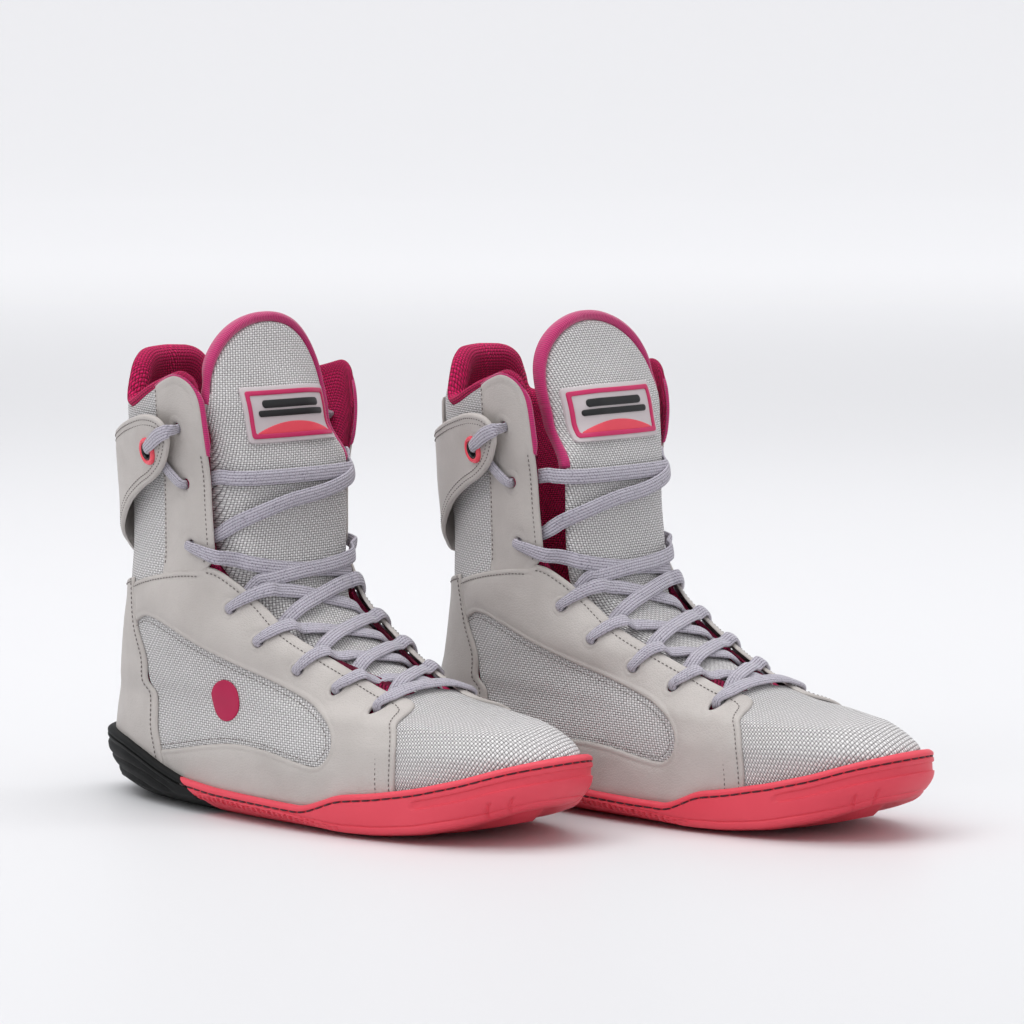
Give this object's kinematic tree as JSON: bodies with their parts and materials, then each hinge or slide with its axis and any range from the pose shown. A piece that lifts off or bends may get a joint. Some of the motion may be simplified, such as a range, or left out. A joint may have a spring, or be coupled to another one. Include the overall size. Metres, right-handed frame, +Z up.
{
  "type": "pair of lace-up boxing boots",
  "caption": "Mid-height laced boxing boots with mesh and grained leather uppers, strap wings, padded tongues and two-tone rubber soles.",
  "frame": {"origin": "middle of the pair's overall box, on the floor under both boots", "axes": "+X from the heels towards the toes, +Y towards the wearer's left boot, +Z up"},
  "size_m": [0.3686, 0.2184, 0.218],
  "materials": {
    "leather": "fine grained, slightly worn, satin",
    "mesh": "coarse open woven mesh, matt",
    "lining": "brushed knitted mesh over foam, matt",
    "binding": "ribbed woven tape, matt",
    "sole_rubber": "moulded, satin",
    "heel_rubber": "moulded, satin",
    "board": "pressed fibre, matt",
    "stiffener": "moulded, matt",
    "lace": "flat braid, matt",
    "aglet": "clear wrapped tip, glossy",
    "patch": "moulded soft rubber, satin",
    "ring": "moulded, glossy",
    "motif": "printed, satin"
  },
  "bodies": {
    "right_boot": {"right_outsole_heel": "heel_rubber", "right_outsole_forefoot": "sole_rubber", "right_quarter_lateral": "leather", "right_quarter_medial": "leather", "right_window_mesh_lateral": "mesh", "right_window_mesh_medial": "mesh", "right_shaft_mesh_lateral": "mesh", "right_shaft_mesh_medial": "mesh", "right_shaft_flap_lateral": "leather", "right_shaft_flap_medial": "leather", "right_heel_counter": "leather", "right_heel_stiffener": "stiffener", "right_vamp": "mesh", "right_toe_puff": "stiffener", "right_collar_lining": "lining", "right_back_tab": "leather", "right_insole_board": "board", "right_sockliner": "lining", "right_strap_lateral": "leather", "right_strap_medial": "leather", "right_grommet_lateral": "ring", "right_grommet_medial": "ring", "right_tongue_lower": "mesh", "right_lace": "lace", "right_aglet_medial": "aglet", "right_aglet_lateral": "aglet", "right_side_mark": "motif"},
    "right_tongue": {"right_tongue_top": "mesh", "right_tongue_binding": "binding", "right_tongue_patch": "patch"},
    "left_boot": {"left_outsole_heel": "heel_rubber", "left_outsole_forefoot": "sole_rubber", "left_quarter_lateral": "leather", "left_quarter_medial": "leather", "left_window_mesh_lateral": "mesh", "left_window_mesh_medial": "mesh", "left_shaft_mesh_lateral": "mesh", "left_shaft_mesh_medial": "mesh", "left_shaft_flap_lateral": "leather", "left_shaft_flap_medial": "leather", "left_heel_counter": "leather", "left_heel_stiffener": "stiffener", "left_vamp": "mesh", "left_toe_puff": "stiffener", "left_collar_lining": "lining", "left_back_tab": "leather", "left_insole_board": "board", "left_sockliner": "lining", "left_strap_lateral": "leather", "left_strap_medial": "leather", "left_grommet_lateral": "ring", "left_grommet_medial": "ring", "left_tongue_lower": "mesh", "left_lace": "lace", "left_aglet_medial": "aglet", "left_aglet_lateral": "aglet", "left_side_mark": "motif"},
    "left_tongue": {"left_tongue_top": "mesh", "left_tongue_binding": "binding", "left_tongue_patch": "patch"}
  },
  "joints": [
    {"name": "left_boot_lift", "type": "slide", "parent": "right_boot", "child": "left_boot", "axis": [0, 0, 1], "range_m": [0, 0.3]},
    {"name": "right_tongue_fold", "type": "hinge", "parent": "right_boot", "child": "right_tongue", "pos_m": [-0.07524, -0.05204, 0.16], "axis": [0, 1, 0], "range_deg": [0, 60], "stiffness_Nm_per_rad": 0.03},
    {"name": "left_tongue_fold", "type": "hinge", "parent": "left_boot", "child": "left_tongue", "pos_m": [0.02069, 0.05316, 0.16], "axis": [-0.0349, 0.9994, 0], "range_deg": [0, 60], "stiffness_Nm_per_rad": 0.03}
  ]
}
